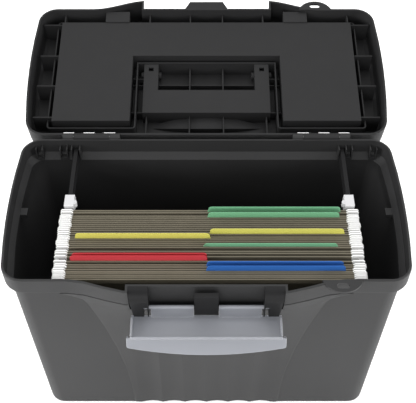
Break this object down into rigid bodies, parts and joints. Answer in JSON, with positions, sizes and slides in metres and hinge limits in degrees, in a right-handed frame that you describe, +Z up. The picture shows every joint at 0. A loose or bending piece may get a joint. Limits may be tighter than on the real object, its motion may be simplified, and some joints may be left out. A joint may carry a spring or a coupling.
{
  "type": "portable file box",
  "caption": "Plastic file box with a hinged lid open behind it, a swinging translucent latch, an organiser in the lid, and hanging folders on two rails",
  "frame": {"origin": "centre of the flat base, on the surface it stands on", "axes": "+X to the right as the latch is faced, +Y to the back where the lid is hinged, +Z up"},
  "size_m": [0.4314, 0.469, 0.3206],
  "materials": {
    "tub": "fine matte moulded black",
    "bracket": "satin moulded black",
    "lid": "satin moulded black",
    "handle": "satin moulded black",
    "clear": "frosted translucent plastic",
    "rail": "satin moulded black",
    "steel": "plain",
    "sheet": "olive pressboard",
    "hook": "satin white",
    "blue": "matte",
    "red": "matte",
    "green": "matte",
    "yellow": "matte"
  },
  "bodies": {
    "box": {"box_tub": "tub", "latch_bracket": "bracket", "rail_left": "rail", "rail_right": "rail", "hinge_pin_left": "steel", "hinge_pin_right": "steel"},
    "lid": {"lid_shell": "lid"},
    "cover": {"organizer_cover": "clear"},
    "handle": {"carry_handle": "handle"},
    "latch": {"latch": "clear"},
    "folders_front": {"sheets_front": "sheet", "hooks_front": "hook", "index_blue_front": "blue", "index_blue_rear": "blue", "index_red_front": "red", "index_red_rear": "red"},
    "folders_second": {"sheets_second": "sheet", "hooks_second": "hook", "index_green_low": "green", "index_yellow_left": "yellow"},
    "folders_third": {"sheets_third": "sheet", "hooks_third": "hook", "index_yellow_right": "yellow"},
    "folders_rear": {"sheets_rear": "sheet", "hooks_rear": "hook", "index_green_front": "green", "index_green_rear": "green"},
    "stop_left": {"folder_stop_left": "hook"},
    "stop_right": {"folder_stop_right": "hook"}
  },
  "joints": [
    {"name": "lid_hinge", "type": "hinge", "parent": "box", "child": "lid", "pos_m": [0, 0.1026, 0.29275], "axis": [1, 0, 0], "range_deg": [0, 172.75]},
    {"name": "latch_hinge", "type": "hinge", "parent": "box", "child": "latch", "pos_m": [0, -0.1135, 0.2647], "axis": [-1, 0, 0], "range_deg": [0, 118]},
    {"name": "handle_pivot", "type": "hinge", "parent": "lid", "child": "handle", "pos_m": [0, 0.21958, 0.28127], "axis": [1, 0, 0], "range_deg": [0, 90.75]},
    {"name": "cover_hinge", "type": "hinge", "parent": "lid", "child": "cover", "pos_m": [0, 0.13295, 0.26178], "axis": [-1, 0, 0], "range_deg": [0, 100]},
    {"name": "folders_front_slide", "type": "slide", "parent": "box", "child": "folders_front", "axis": [0, 1, 0], "range_m": [0, 0.014]},
    {"name": "folders_second_slide", "type": "slide", "parent": "folders_front", "child": "folders_second", "axis": [0, 1, 0], "range_m": [0, 0.014]},
    {"name": "folders_third_slide", "type": "slide", "parent": "folders_second", "child": "folders_third", "axis": [0, 1, 0], "range_m": [0, 0.014]},
    {"name": "folders_rear_slide", "type": "slide", "parent": "folders_third", "child": "folders_rear", "axis": [0, 1, 0], "range_m": [0, 0.014]},
    {"name": "stop_left_slide", "type": "slide", "parent": "folders_rear", "child": "stop_left", "axis": [0, 1, 0], "range_m": [0, 0.012]},
    {"name": "stop_right_slide", "type": "slide", "parent": "folders_rear", "child": "stop_right", "axis": [0, 1, 0], "range_m": [0, 0.012]}
  ]
}
